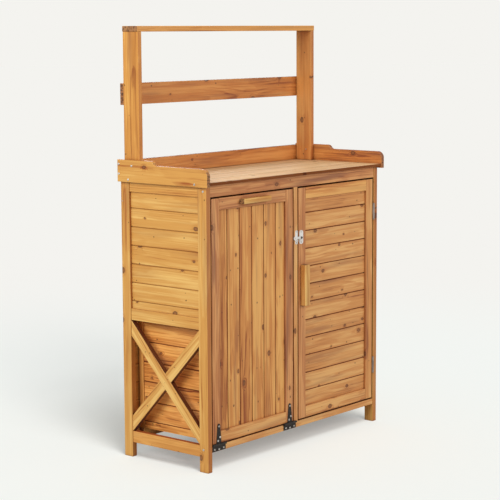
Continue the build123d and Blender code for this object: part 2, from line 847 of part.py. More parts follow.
def make_screw(length, head_radius, head_high):
    """A pan-head screw with a cross recess. Its head stands on the plane z = 0, and it points down."""
    with BuildPart() as screw:
        Cylinder(pan_shank_radius, length, align=(Align.CENTER, Align.CENTER, Align.MAX))
        chamfer(screw.edges().group_by(Axis.Z)[0], pan_shank_radius / 2)
        Cylinder(head_radius, head_high, align=(Align.CENTER, Align.CENTER, Align.MIN))
        fillet(screw.edges().group_by(Axis.Z)[-1], head_high / 2)
        with Locations((0, 0, head_high)):
            Box(cross_long, cross_wide, 2 * cross_deep, mode=Mode.SUBTRACT)
            Box(cross_wide, cross_long, 2 * cross_deep, mode=Mode.SUBTRACT)
    return screw.part


def make_sunk_screw(head_high):
    """A countersunk screw with a cross recess. Its head fills a plate above z = 0."""
    with BuildPart() as screw:
        Cylinder(sunk_shank_radius, sunk_screw, align=(Align.CENTER, Align.CENTER, Align.MAX))
        Cone(sunk_shank_radius, sunk_head_radius, head_high, align=(Align.CENTER, Align.CENTER, Align.MIN))
        with Locations((0, 0, head_high)):
            Box(cross_long, cross_wide, cross_deep, mode=Mode.SUBTRACT)
            Box(cross_wide, cross_long, cross_deep, mode=Mode.SUBTRACT)
    return screw.part


def make_nail():
    """A nail whose flat head lies on the plane z = 0."""
    with BuildPart() as nail:
        Cylinder(nail_radius, nail_long, align=(Align.CENTER, Align.CENTER, Align.MAX))
        Cylinder(nail_head_radius, nail_head_high, align=(Align.CENTER, Align.CENTER, Align.MIN))
    return nail.part


frame_screw = make_screw(long_screw, pan_head_radius, pan_head_high)
leaf_screw = make_screw(short_screw, small_head_radius, small_head_high)
handle_fixing = make_screw(handle_screw, small_head_radius, small_head_high)
butt_screw = make_sunk_screw(butt_leaf_thick)
latch_screw = make_sunk_screw(latch_plate_thick)
nail = make_nail()

back_screw_y = back_board_rear - 4.5
gallery_screws = (
    (back_screw_y, 962.6),
    (back_screw_y, 931.2),
    (post_front + 21.2, 958.6),
    (post_front + 36.7, 914.0),
    (front + 34.0, 914.0),
)
leg_screws = ((front + 12.4, 892.4), (front + 19.1, 73.9))
leg_nail = (rear - 7.5, 841.7)
brace_nails = ((front + 250.0, 356.0), (front + 141.0, 323.0), (front + 139.0, 238.0))


def facing_x(side, x, y, z):
    """A plane on a side of the bench, facing away from it."""
    return Plane(origin=(x, y, z), x_dir=(0, 1, 0), z_dir=(side, 0, 0))


def facing_front(x, y, z):
    """A plane facing the front."""
    return Plane(origin=(x, y, z), x_dir=(1, 0, 0), z_dir=(0, -1, 0))


def facing_rear(x, y, z):
    """A plane facing the back."""
    return Plane(origin=(x, y, z), x_dir=(1, 0, 0), z_dir=(0, 1, 0))


with BuildPart() as bench_screws:
    for side in (-1, 1):
        gallery_face = side * (leg_outer + side_board_thick)
        with Locations(*[facing_x(side, gallery_face, y, z) for y, z in gallery_screws]):
            add(frame_screw)
        with Locations(*[facing_x(side, side * leg_outer, y, z) for y, z in leg_screws]):
            add(frame_screw)
        with Locations(facing_x(side, side * leg_outer, *leg_nail)):
            add(nail)
    brace_face = -leg_inner - brace_thick
    with Locations(*[facing_x(-1, brace_face, y, z) for y, z in brace_nails]):
        add(nail)
    plate_face = door_face - t_leaf_thick
    with Locations(*[facing_front(x + dx, plate_face, z) for x in t_hinge_x for dx, z in plate_screws]):
        add(leaf_screw)
    with Locations(*[facing_front(x, door_face, z) for x, z in keeper_screws]):
        add(latch_screw)
    butt_screw_heights = [centre + dz for centre in butt_centres for dz in (-butt_screw_z, butt_screw_z)]
    with Locations(*[facing_x(-1, leg_inner, butt_screw_y, z) for z in butt_screw_heights]):
        add(butt_screw)
save(bench_screws, "bench_screws")

left_handle_z = middle(left_handle_low[2], left_handle_high[2])
left_handle_screws = [(left_handle_low[0] + handle_inset, left_handle_z)]
left_handle_screws += [(left_handle_high[0] - handle_inset, left_handle_z)]
with BuildPart() as left_door_screws:
    with Locations(*[facing_front(x + dx, plate_face, z) for x in t_hinge_x for dx, z in strap_screws]):
        add(leaf_screw)
    with Locations(*[facing_rear(x, door_back, z) for x, z in left_handle_screws]):
        add(handle_fixing)
save(left_door_screws, "left_door_screws")

right_handle_x = middle(right_handle_low[0], right_handle_high[0])
right_handle_screws = [(right_handle_x, right_handle_low[2] + handle_inset)]
right_handle_screws += [(right_handle_x, right_handle_high[2] - handle_inset)]
with BuildPart() as right_door_screws:
    with Locations(*[facing_rear(x, door_back, z) for x, z in right_handle_screws]):
        add(handle_fixing)
    with Locations(*[facing_front(x, door_face, z) for x, z in latch_screws]):
        add(latch_screw)
    with Locations(*[facing_x(1, right_door[1], butt_screw_y, z) for z in butt_screw_heights]):
        add(butt_screw)
save(right_door_screws, "right_door_screws")
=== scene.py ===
import math

import bpy
from mathutils import Matrix, Vector


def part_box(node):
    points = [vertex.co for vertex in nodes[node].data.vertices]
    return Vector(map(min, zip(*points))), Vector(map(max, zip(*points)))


# Looks of a potting bench: stained softwood with grain and knots worked out board by board, black and
# zinc-plated hardware, a pale studio floor and soft light.

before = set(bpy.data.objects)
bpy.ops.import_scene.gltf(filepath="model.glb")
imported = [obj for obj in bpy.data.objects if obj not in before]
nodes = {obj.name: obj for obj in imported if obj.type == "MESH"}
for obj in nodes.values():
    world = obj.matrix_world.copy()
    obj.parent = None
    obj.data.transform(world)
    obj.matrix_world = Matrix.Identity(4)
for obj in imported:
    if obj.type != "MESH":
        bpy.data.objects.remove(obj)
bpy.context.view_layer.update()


# ---------------------------------------------------------------- small helpers
def srgb(red, green, blue):
    """A colour given as screen values from 0 to 255, made linear for the renderer by the sRGB curve."""
    linear = []
    for value in (red, green, blue):
        share = value / 255
        linear.append(share / 12.92 if share <= 0.04045 else ((share + 0.055) / 1.055) ** 2.4)
    return (*linear, 1.0)


MIX_FACTOR, MIX_A, MIX_B, MIX_RESULT = 0, 6, 7, 2      # the colour sockets of a mix node, by number


class Graph:
    """Writes a shader node tree a node at a time. Every method returns the new node's output."""

    def __init__(self, tree):
        self.tree = tree

    def feed(self, socket, value):
        """Links an output into a socket, or sets the socket to a plain value."""
        if isinstance(value, bpy.types.NodeSocket):
            self.tree.links.new(value, socket)
        elif value is not None:
            socket.default_value = value

    def node(self, kind, inputs=None, **settings):
        made = self.tree.nodes.new(kind)
        for key, value in settings.items():
            setattr(made, key, value)
        for key, value in (inputs or {}).items():
            self.feed(made.inputs[key], value)
        return made

    def math(self, operation, a, b=None, c=None, clamp=False):
        inputs = {0: a, 1: b, 2: c}
        made = self.node("ShaderNodeMath", operation=operation, use_clamp=clamp)
        for key, value in inputs.items():
            self.feed(made.inputs[key], value)
        return made.outputs[0]

    def vector(self, operation, a, b=None, scale=None):
        made = self.node("ShaderNodeVectorMath", operation=operation)
        self.feed(made.inputs[0], a)
        self.feed(made.inputs[1], b)
        if scale is not None:
            self.feed(made.inputs["Scale"], scale)
        return made.outputs["Value" if operation in ("DOT_PRODUCT", "LENGTH", "DISTANCE") else "Vector"]

    def combine(self, x, y, z):
        return self.node("ShaderNodeCombineXYZ", {"X": x, "Y": y, "Z": z}).outputs[0]

    def separate(self, vector):
        return self.node("ShaderNodeSeparateXYZ", {0: vector}).outputs

    def noise(self, vector, scale=1.0, detail=2.0, roughness=0.5):
        inputs = {"Vector": vector, "Scale": scale, "Detail": detail, "Roughness": roughness}
        return self.node("ShaderNodeTexNoise", inputs, noise_dimensions="3D").outputs["Fac"]

    def drawn_out(self, place, recipe):
        """Noise drawn out along the grain, by a recipe as given among the values of the wood."""
        along, across, detail, roughness = recipe
        return self.noise(self.vector("MULTIPLY", place, (along, across, across)), 1.0, detail, roughness)

    def remap(self, value, low, high, to_low=0.0, to_high=1.0, smooth=True):
        """A value between low and high brought between to_low and to_high, and held there beyond them."""
        inputs = {"Value": value, 1: low, 2: high, 3: to_low, 4: to_high}
        kind = "SMOOTHSTEP" if smooth else "LINEAR"
        return self.node("ShaderNodeMapRange", inputs, interpolation_type=kind).outputs[0]

    def centred(self, value):
        """A value from 0 to 1 moved to lie evenly round 0."""
        return self.math("SUBTRACT", value, 0.5)

    def mix(self, factor, a, b, blend="MIX"):
        made = self.node("ShaderNodeMix", data_type="RGBA", blend_type=blend)
        self.feed(made.inputs[MIX_FACTOR], factor)
        self.feed(made.inputs[MIX_A], a)
        self.feed(made.inputs[MIX_B], b)
        return made.outputs[MIX_RESULT]

    def ramp(self, factor, stops, interpolation="EASE"):
        """A greyscale ramp through (position, value) stops."""
        made = self.node("ShaderNodeValToRGB", {0: factor})
        ramp = made.color_ramp
        ramp.interpolation = interpolation
        for index, (position, value) in enumerate(stops):
            element = ramp.elements[index] if index < 2 else ramp.elements.new(position)
            element.position = position
            element.color = (value, value, value, 1.0)
        return made.outputs[0]


def new_group(name, inputs, outputs):
    """An empty shader group with named sockets. Returns its graph, inputs and output node."""
    tree = bpy.data.node_groups.new(name, "ShaderNodeTree")
    for socket_name, kind in inputs:
        tree.interface.new_socket(socket_name, in_out="INPUT", socket_type=kind)
    for socket_name, kind in outputs:
        tree.interface.new_socket(socket_name, in_out="OUTPUT", socket_type=kind)
    graph = Graph(tree)
    return graph, graph.node("NodeGroupInput").outputs, graph.node("NodeGroupOutput")


# ---------------------------------------------------------------- wood
# growth rings round the heart of the tree, the pith
RING_PITCH = 0.0068          # metres between rings
RING_UNEVEN = 2.4            # how many rings the spacing drifts by
RING_UNEVEN_SCALE = 0.45
RING_PROFILE = [(0.0, 0.1), (0.45, 0.25), (0.82, 0.95), (0.93, 0.75), (1.0, 0.1)]
PITH_SPREAD = 0.05           # how far the pith lies to either side of a board
PITH_NEAR = 0.016            # and below its face
PITH_DEEP = 0.055
PITH_WANDER = 0.05           # how far it comes and goes along a board
PITH_WANDER_SCALE = 1.7
RING_BEND = 0.010            # how far the rings are pushed about
KNOT_BEND = -0.0085          # and how far by a knot

# knots, one place for a knot in each cell. Distances from a knot are in its radii.
KNOT_CELL = (0.19, 0.058)
KNOT_SMALL = 0.0026
KNOT_LARGE = 0.0068
KNOT_RANDOMNESS = 0.85
KNOT_LONG = 0.72             # distances along the grain count for this much, so knots come out long
KNOT_RAGGED = 0.0052
KNOT_RAGGED_SCALE = 130.0
KNOT_CORE = (0.7, 1.15)
KNOT_HALO = (0.8, 3.2)       # the grain bends and darkens round a knot
KNOT_RIM = [(0.30, 0.0), (0.46, 1.0), (0.66, 0.0)]   # in halves of a radius
KNOT_RINGS = 9.0
KNOT_RING_DEPTH = 0.16
CORE_STRENGTH = 0.8
RIM_STRENGTH = 0.78
HALO_TONE = 0.22
PIN_CELL = (0.11, 0.034)     # the same for pin knots, dark specks
PIN_SMALL = 0.00102
PIN_LARGE = 0.00221
PIN_SHIFT = (3.3, 7.7, 0.0)
PIN_SHARE = 0.7
PIN_CORE = (0.7, 1.5)
PIN_STRENGTH = 0.75

# where the random values of a board are drawn from
BOARD_STEP = 1.731
SECOND_DRAW = 57.3
PLACE_APART = 31.0
WANDER_APART = 90.0

# noise drawn out along the grain: cells to a metre along and across it, detail, roughness
BEND = (5.0, 30.0, 3.0, 0.55)
RING_STRENGTH = (2.0, 22.0, 1.0, 0.5)
BAND = (1.3, 42.0, 1.0, 0.5)
STREAK = (3.2, 120.0, 2.0, 0.6)
LINE = (9.0, 420.0, 1.0, 0.5)
FIBRE = (30.0, 1300.0, 1.0, 0.5)
BLOTCH = (5.5, 17.0, 2.0, 0.55)
HEARTWOOD = (2.4, 14.0, 3.0, 0.6)
GREYED_PATCH = (2.2, 26.0, 2.0, 0.6)
SAW_SCALE = (0.0, 190.0, 70.0)          # saw marks on end grain, along, across and into the board

# where noise starts to show and where it is full
RING_STRENGTH_SPAN = (0.35, 0.7)
HEARTWOOD_SPAN = (0.52, 0.555)
GREYED_SPAN = (0.5, 0.74)
SAW_SPAN = (0.5, 0.57)
WEAKEST_RING = 0.15

# how much each of them darkens the wood
RING_WEIGHT = 0.5
HEARTWOOD_WEIGHT = 0.2
BAND_WEIGHT = 0.8
STREAK_WEIGHT = 0.95
LINE_WEIGHT = 0.62
FIBRE_WEIGHT = 0.18
BLOTCH_WEIGHT = 0.6
MEAN_TONE = 0.46
LIGHT_TONE = 0.05            # tones of the three colours of a palette
MIDDLE_TONE = 0.5
DARK_TONE = 1.05

KNOT_BARK = srgb(70, 42, 30)
KNOT_HEART = srgb(176, 112, 66)
GREYED = srgb(130, 84, 66)
END_GRAIN = srgb(136, 92, 68)
END_STRENGTH = 0.7
SAW_MARK = srgb(58, 36, 28)
SAW_STRENGTH = 0.75
# painted shade: tints that darken a board's side faces across the grain, as on faces turned from the light
SIDE_SHADE_TINT = (0.58, 0.22, 0.20, 1.0)
DEEP_SIDE_SHADE_TINT = (0.21, 0.10, 0.13, 1.0)    # darker painted shade, for dull, dark side faces
# grime in joints and painted shade in creases, both in this colour
GRIME_AND_CREASE_SHADE = (0.34, 0.17, 0.10, 1.0)
# painted shade in creases from ambient occlusion: its reach, samples, openness span and strength
CREASE_SHADE_REACH = 0.018
CREASE_SHADE_SAMPLES = 6
CREASE_SHADE_OPENNESS = (0.12, 0.82)           # how open a spot is, from deep in a crease, where the painted shade is full, to out in the open
CREASE_SHADE_STRENGTH = 0.85

# roughness over the span of the fine lines, and what is added for gloss, end grain and joints
ROUGH_LINES = (0.3, 0.7)
ROUGHNESS = (0.50, 0.66)
GLOSS_ROUGHER = -0.2
END_ROUGHER = 0.25
JOINT_ROUGHER = 0.3

LINE_HEIGHT = 0.6
RING_HEIGHT = 0.4
FIBRE_HEIGHT = 0.25
KNOT_RIM_HEIGHT = -0.5


def knot_field(graph, place, cell, chance_limit, smallest, largest, ragged):
    """Round marks, one to a cell. Returns the distance from a mark in its radii, and 1 where there is one."""
    cell_long, cell_wide = cell
    space = graph.vector("MULTIPLY", place, (1 / cell_long, 1 / cell_wide, 0.0))
    cells = graph.node(
        "ShaderNodeTexVoronoi",
        {"Vector": space, "Scale": 1.0, "Randomness": KNOT_RANDOMNESS},
        voronoi_dimensions="2D",
        feature="F1",
    )
    away = graph.vector("SUBTRACT", space, cells.outputs["Position"])
    away = graph.vector("MULTIPLY", away, (cell_long * KNOT_LONG, cell_wide, 0.0))
    distance = graph.math("MULTIPLY_ADD", graph.centred(ragged), KNOT_RAGGED, graph.vector("LENGTH", away))
    chance, size_chance = graph.separate(cells.outputs["Color"])[:2]
    radius = graph.remap(size_chance, 0.0, 1.0, smallest, largest, smooth=False)
    return graph.math("DIVIDE", distance, radius), graph.math("LESS_THAN", chance, chance_limit)


def board_randoms(graph, board, seed):
    """Six values from 0 to 1 that belong to one board, and the first three as a colour."""
    key = graph.math("MULTIPLY_ADD", board, BOARD_STEP, seed)
    first = graph.node("ShaderNodeTexWhiteNoise", {"W": key}, noise_dimensions="1D").outputs["Color"]
    second_key = graph.math("ADD", key, SECOND_DRAW)
    second = graph.node("ShaderNodeTexWhiteNoise", {"W": second_key}, noise_dimensions="1D").outputs["Color"]
    return [*graph.separate(first), *graph.separate(second)], first


def ring_field(graph, position, place, randoms, knot_halo):
    """Growth rings round a pith that wanders along the board. 1 is the dark part of a ring."""
    u, v, w = graph.separate(position)
    wander_at = graph.combine(graph.math("MULTIPLY_ADD", randoms[0], WANDER_APART, u), randoms[1], randoms[2])
    wander = graph.centred(graph.noise(wander_at, PITH_WANDER_SCALE, detail=1.0))
    heart_v = graph.math("MULTIPLY", graph.centred(randoms[3]), 2 * PITH_SPREAD)
    heart_w = graph.math("MULTIPLY_ADD", randoms[4], PITH_DEEP - PITH_NEAR, PITH_NEAR)
    heart_w = graph.math("MULTIPLY_ADD", wander, PITH_WANDER, heart_w)
    off_v = graph.math("SUBTRACT", v, heart_v)
    off_w = graph.math("ADD", w, heart_w)
    radius = graph.vector("LENGTH", graph.combine(off_v, off_w, 0.0))
    radius = graph.math("MULTIPLY_ADD", graph.centred(graph.drawn_out(place, BEND)), RING_BEND, radius)
    radius = graph.math("MULTIPLY_ADD", knot_halo, KNOT_BEND, radius)
    rings = graph.math("DIVIDE", radius, RING_PITCH)
    uneven = graph.noise(graph.combine(rings, randoms[5], 0.0), RING_UNEVEN_SCALE, detail=1.0)
    rings = graph.math("MULTIPLY_ADD", uneven, RING_UNEVEN, rings)
    ring = graph.ramp(graph.math("FRACT", rings), RING_PROFILE)
    strength = graph.remap(graph.drawn_out(place, RING_STRENGTH), *RING_STRENGTH_SPAN, WEAKEST_RING, 1.0)
    return graph.math("MULTIPLY", ring, strength)


def build_wood_group():
    """Colour, roughness and height of one piece of softwood.

    Position is in metres in the board's own directions: x along the grain, y across it, z into the wood,
    from the board's middle. Every Board number and Seed gives another board.
    """
    graph, given, result = new_group(
        "softwood",
        [
            ("Position", "NodeSocketVector"),
            ("Board", "NodeSocketFloat"),
            ("Seed", "NodeSocketFloat"),
            ("Light", "NodeSocketColor"),
            ("Middle", "NodeSocketColor"),
            ("Dark", "NodeSocketColor"),
            ("Knots", "NodeSocketFloat"),
            ("Contrast", "NodeSocketFloat"),
            ("Variation", "NodeSocketFloat"),
            ("Greying", "NodeSocketFloat"),
            ("End", "NodeSocketFloat"),
            ("Side Shade", "NodeSocketFloat"),
            ("Side Shade Tint", "NodeSocketColor"),
            ("Joint", "NodeSocketFloat"),
            ("Crease Shade", "NodeSocketFloat"),
            ("Gloss", "NodeSocketFloat"),
        ],
        [("Color", "NodeSocketColor"), ("Roughness", "NodeSocketFloat"), ("Height", "NodeSocketFloat")],
    )
    randoms, random_colour = board_randoms(graph, given["Board"], given["Seed"])
    shift = graph.vector("SCALE", random_colour, scale=PLACE_APART)
    place = graph.vector("ADD", given["Position"], shift)

    # knots and pin knots
    ragged = graph.noise(place, KNOT_RAGGED_SCALE, detail=2.0, roughness=0.6)
    knot, knot_here = knot_field(graph, place, KNOT_CELL, given["Knots"], KNOT_SMALL, KNOT_LARGE, ragged)
    knot_core = graph.math("MULTIPLY", graph.remap(knot, *KNOT_CORE, 1.0, 0.0), knot_here)
    knot_rim = graph.math("MULTIPLY", graph.ramp(graph.math("MULTIPLY", knot, 0.5), KNOT_RIM), knot_here)
    knot_halo = graph.math("MULTIPLY", graph.remap(knot, *KNOT_HALO, 1.0, 0.0), knot_here)
    pin_place = graph.vector("ADD", place, PIN_SHIFT)
    pin_chance = graph.math("MULTIPLY", given["Knots"], PIN_SHARE)
    pin, pin_here = knot_field(graph, pin_place, PIN_CELL, pin_chance, PIN_SMALL, PIN_LARGE, ragged)
    pin_core = graph.math("MULTIPLY", graph.remap(pin, *PIN_CORE, 1.0, 0.0), pin_here)

    # rings, and wide bands, streaks, fine lines and fibres along the grain, and a blotchy stain
    ring = ring_field(graph, given["Position"], place, randoms, knot_halo)
    line = graph.drawn_out(place, LINE)
    fibre = graph.drawn_out(place, FIBRE)
    heartwood = graph.remap(graph.drawn_out(place, HEARTWOOD), *HEARTWOOD_SPAN)
    heartwood = graph.math("MULTIPLY", heartwood, HEARTWOOD_WEIGHT)
    figure = graph.math("MULTIPLY_ADD", graph.centred(ring), RING_WEIGHT, heartwood)
    for field, weight in (
        (graph.drawn_out(place, BAND), BAND_WEIGHT),
        (graph.drawn_out(place, STREAK), STREAK_WEIGHT),
        (line, LINE_WEIGHT),
        (fibre, FIBRE_WEIGHT),
        (graph.drawn_out(place, BLOTCH), BLOTCH_WEIGHT),
    ):
        figure = graph.math("MULTIPLY_ADD", graph.centred(field), weight, figure)
    tone = graph.math("MULTIPLY_ADD", figure, given["Contrast"], MEAN_TONE)
    tone = graph.math("MULTIPLY_ADD", graph.centred(randoms[5]), given["Variation"], tone)
    tone = graph.math("MULTIPLY_ADD", knot_halo, HALO_TONE, tone)
    wood = graph.mix(graph.remap(tone, LIGHT_TONE, MIDDLE_TONE), given["Light"], given["Middle"])
    wood = graph.mix(graph.remap(tone, MIDDLE_TONE, DARK_TONE), wood, given["Dark"])
    greyed = graph.remap(graph.drawn_out(place, GREYED_PATCH), *GREYED_SPAN)
    wood = graph.mix(graph.math("MULTIPLY", greyed, given["Greying"]), wood, GREYED)

    # knots over that
    knot_rings = graph.math("SINE", graph.math("MULTIPLY", knot, KNOT_RINGS))
    knot_tone = graph.math("MULTIPLY_ADD", knot_rings, KNOT_RING_DEPTH, 0.5)
    knot_wood = graph.mix(knot_tone, KNOT_BARK, KNOT_HEART)
    wood = graph.mix(graph.math("MULTIPLY", knot_core, CORE_STRENGTH), wood, knot_wood)
    wood = graph.mix(graph.math("MULTIPLY", knot_rim, RIM_STRENGTH), wood, KNOT_BARK)
    wood = graph.mix(graph.math("MULTIPLY", pin_core, PIN_STRENGTH), wood, KNOT_BARK)

    # painted shade on the side faces across the grain, end grain with saw marks, grime in joints, and painted
    # shade in creases from ambient occlusion
    wood = graph.mix(given["Side Shade"], wood, graph.mix(1.0, wood, given["Side Shade Tint"], "MULTIPLY"))
    wood = graph.mix(graph.math("MULTIPLY", given["End"], END_STRENGTH), wood, END_GRAIN)
    saw_marks = graph.noise(graph.vector("MULTIPLY", place, SAW_SCALE), detail=2.0, roughness=0.6)
    saw_marks = graph.remap(saw_marks, *SAW_SPAN, 0.0, SAW_STRENGTH)
    wood = graph.mix(graph.math("MULTIPLY", saw_marks, given["End"]), wood, SAW_MARK)
    wood = graph.mix(given["Joint"], wood, graph.mix(1.0, wood, GRIME_AND_CREASE_SHADE, "MULTIPLY"))
    # painted shade: ambient occlusion darkens creases, corners and recesses
    crease_occlusion = graph.node("ShaderNodeAmbientOcclusion", {"Distance": CREASE_SHADE_REACH}, samples=CREASE_SHADE_SAMPLES)
    crease = graph.remap(crease_occlusion.outputs["AO"], *CREASE_SHADE_OPENNESS, CREASE_SHADE_STRENGTH, 0.0)
    crease = graph.math("MULTIPLY", crease, given["Crease Shade"])
    wood = graph.mix(crease, wood, graph.mix(1.0, wood, GRIME_AND_CREASE_SHADE, "MULTIPLY"))

    rough = graph.remap(line, *ROUGH_LINES, *ROUGHNESS)
    rough = graph.math("MULTIPLY_ADD", given["Gloss"], GLOSS_ROUGHER, rough)
    rough = graph.math("MULTIPLY_ADD", given["End"], END_ROUGHER, rough)
    rough = graph.math("MULTIPLY_ADD", given["Joint"], JOINT_ROUGHER, rough, clamp=True)
    height = graph.math("MULTIPLY_ADD", line, LINE_HEIGHT, graph.math("MULTIPLY", ring, RING_HEIGHT))
    height = graph.math("MULTIPLY_ADD", fibre, FIBRE_HEIGHT, height)
    height = graph.math("MULTIPLY_ADD", knot_rim, KNOT_RIM_HEIGHT, height)
    graph.feed(result.inputs["Color"], wood)
    graph.feed(result.inputs["Roughness"], rough)
    graph.feed(result.inputs["Height"], height)
    return graph.tree


wood_group = build_wood_group()

AXES = {"x": Vector((1, 0, 0)), "y": Vector((0, 1, 0)), "z": Vector((0, 0, 1))}
JOINT_DARK = 0.0009          # the line between two boards is dark out to here on each side
JOINT_CLEAR = 0.0024
END_FACING = (0.6, 0.9)      # how squarely a face looks along the grain, from no end grain to all
SHADED_SIDE_FACING = (0.75, 0.95)   # and across it, for a side face that gets painted shade
WOOD_BUMP = {"Strength": 0.3, "Distance": 0.0004}
SPECULAR = 0.15
GLOSS_SPECULAR = 0.4         # more of it with gloss


def facing(graph, normal, way, limits, most=1.0):
    """From 0 to most as a face turns to look along a direction, either way."""
    squarely = graph.math("ABSOLUTE", graph.vector("DOT_PRODUCT", normal, tuple(way)))
    return graph.remap(squarely, *limits, 0.0, most)


def wood_material(
    name, palette, grain, across, centre, boards=None, seed=0.0, knots=0.3, contrast=1.05, variation=0.3,
    greying=0.3, edge=0.3, gloss=0.6, grime=1.0, crease=1.0, edge_stain=SIDE_SHADE_TINT,
):
    """A board's material. Grain and across are directions, centre is a point in the board's middle.

    Boards is None for one board, or (direction, first edge, pitch) where a node holds several.
    """
    material = bpy.data.materials.new(name)
    material.use_nodes = True
    graph = Graph(material.node_tree)
    shader = material.node_tree.nodes["Principled BSDF"]
    coordinates = graph.node("ShaderNodeTexCoord").outputs
    centre = Vector(centre)
    position = coordinates["Object"]
    index = 0.0
    joint = 0.0
    if boards is not None:
        direction, first_edge, pitch = boards
        along = graph.vector("DOT_PRODUCT", position, tuple(direction))
        index = graph.math("FLOOR", graph.math("DIVIDE", graph.math("SUBTRACT", along, first_edge), pitch))
        board_middle = graph.math("MULTIPLY_ADD", index, pitch, first_edge + pitch / 2)
        off_middle = graph.math("ABSOLUTE", graph.math("SUBTRACT", along, board_middle))
        joint = graph.remap(off_middle, pitch / 2 - JOINT_CLEAR, pitch / 2 - JOINT_DARK, 0.0, grime)
        centre = centre - direction * centre.dot(direction)
        step = graph.vector("SCALE", tuple(direction), scale=board_middle)
        position = graph.vector("SUBTRACT", position, step)
    position = graph.vector("SUBTRACT", position, tuple(centre))
    into = grain.cross(across)
    local = graph.combine(
        graph.vector("DOT_PRODUCT", position, tuple(grain)),
        graph.vector("DOT_PRODUCT", position, tuple(across)),
        graph.vector("DOT_PRODUCT", position, tuple(into)),
    )
    light, middle, dark = palette
    inputs = {
        "Position": local,
        "Board": index,
        "Seed": seed,
        "Light": light,
        "Middle": middle,
        "Dark": dark,
        "Knots": knots,
        "Contrast": contrast,
        "Variation": variation,
        "Greying": greying,
        "End": facing(graph, coordinates["Normal"], grain, END_FACING),
        # painted shade on the side faces across the grain
        "Side Shade": facing(graph, coordinates["Normal"], across, SHADED_SIDE_FACING, edge),
        "Side Shade Tint": edge_stain,
        "Joint": joint,
        # painted shade in creases
        "Crease Shade": crease,
        "Gloss": gloss,
    }
    wood = graph.node("ShaderNodeGroup", node_tree=wood_group)
    for key, value in inputs.items():
        graph.feed(wood.inputs[key], value)
    bump = graph.node("ShaderNodeBump", {"Height": wood.outputs["Height"], **WOOD_BUMP})
    graph.feed(shader.inputs["Base Color"], wood.outputs["Color"])
    graph.feed(shader.inputs["Roughness"], wood.outputs["Roughness"])
    graph.feed(shader.inputs["Normal"], bump.outputs[0])
    shader.inputs["Specular IOR Level"].default_value = SPECULAR + GLOSS_SPECULAR * gloss
    return material


def dress(name, material):
    """Gives a CAD node one material all over."""
    slots = nodes[name].data.materials
    slots.clear()
    slots.append(material)


# stains, each from its lightest streaks to its darkest
GOLD = (srgb(234, 190, 114), srgb(212, 155, 80), srgb(164, 90, 38))
HONEY = (srgb(232, 180, 114), srgb(212, 148, 86), srgb(158, 94, 54))
BROWN = (srgb(220, 160, 102), srgb(194, 128, 78), srgb(138, 80, 50))
RUST = (srgb(218, 152, 84), srgb(198, 126, 64), srgb(146, 78, 38))
STRAW = (srgb(240, 188, 104), srgb(208, 144, 70), srgb(154, 88, 38))
AMBER = (srgb(226, 166, 90), srgb(206, 142, 70), srgb(154, 88, 38))
EMBER = (srgb(250, 186, 104), srgb(218, 144, 72), srgb(130, 62, 26))
TAN = (srgb(234, 178, 104), srgb(212, 144, 78), srgb(156, 86, 44))
PALE = (srgb(217, 181, 134), srgb(204, 163, 117), srgb(168, 124, 84))

SLAT_PITCH = 0.0604
# a place where one slat ends and the next begins, and how many slats before it their count starts
LEFT_PANEL_LINE = (0.820, 20)
OTHER_PANEL_LINE = (0.120, 10)
RIGHT_DOOR_LINE = (0.4804, 8)
LEFT_DOOR_SLATS_TO_MIDDLE = 3
NICHE_FIRST_EDGE = 0.0457
NICHE_BOARD_PITCH = 0.0663
FLOOR_BOARD_COUNT = 12
PLANK_COUNT = 4
HALVES = 0.3                 # a pitch wide enough to part two pieces at the middle between them
SEED_STEP = 3.7              # from one node's seed to the next
BRACE_SEED = 11.0
BRACE_HALF = 0.0175          # half the width of a bar of the brace


def span(name, axis):
    """A node's lowest and highest value along an axis."""
    low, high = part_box(name)
    index = "xyz".index(axis)
    return low[index], high[index]


def middle(name, axis):
    """The value halfway along a node's box."""
    return sum(span(name, axis)) / 2


def slats(axis, line, slats_before):
    """Slats at their pitch, counted from so many before a line between two of them."""
    return AXES[axis], line - slats_before * SLAT_PITCH, SLAT_PITCH


def two_pieces(name, axis):
    """A node's two pieces, one on each side of its middle."""
    return AXES[axis], middle(name, axis) - HALVES, HALVES


def equal_boards(name, axis, count):
    """A node's width shared out evenly."""
    low, high = span(name, axis)
    return AXES[axis], low, (high - low) / count


def board(name, palette, grain, across, **settings):
    """Dresses a node that is a single board, or several when boards is given."""
    low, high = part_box(name)
    seed = SEED_STEP * (sorted(nodes).index(name) + 1)
    material = wood_material(
        f"wood_{name}", palette, AXES[grain], AXES[across], (low + high) / 2, seed=seed, **settings
    )
    dress(name, material)


# frame
for name in ("leg_front_left", "leg_front_right", "leg_rear_left", "leg_rear_right"):
    board(name, GOLD, "z", "y", knots=0.3, contrast=0.75, variation=0.2, edge=0.55)
board("apron", BROWN, "x", "z", knots=0.7, contrast=1.4, greying=0.7)
for name in ("rear_top_rail", "rear_bottom_rail"):
    board(name, HONEY, "x", "z", knots=0.5)
board("front_bottom_rail", HONEY, "x", "z", knots=0.3)
board("centre_stile", HONEY, "z", "x", knots=0.3, greying=0.5)
board("rear_centre_stile", HONEY, "z", "x", knots=0.3)
for name in ("left_top_rail", "left_middle_rail", "right_top_rail", "right_middle_rail", "right_bottom_rail"):
    board(name, GOLD, "y", "z", knots=0.3, contrast=0.75, edge=0.5, crease=0.5)
board("left_bottom_rail", AMBER, "y", "z", knots=0.3, contrast=1.3, edge=0.9, crease=0.5)

# side and rear panels
for name, grain, line in (
    ("left_panel_slats", "y", LEFT_PANEL_LINE),
    ("right_panel_slats", "y", OTHER_PANEL_LINE),
    ("rear_panel_slats", "x", OTHER_PANEL_LINE),
):
    board(
        name, GOLD, grain, "z", boards=slats("z", *line), knots=0.7, contrast=0.65, variation=0.15,
        greying=0.2, grime=0.5, crease=0.5,
    )

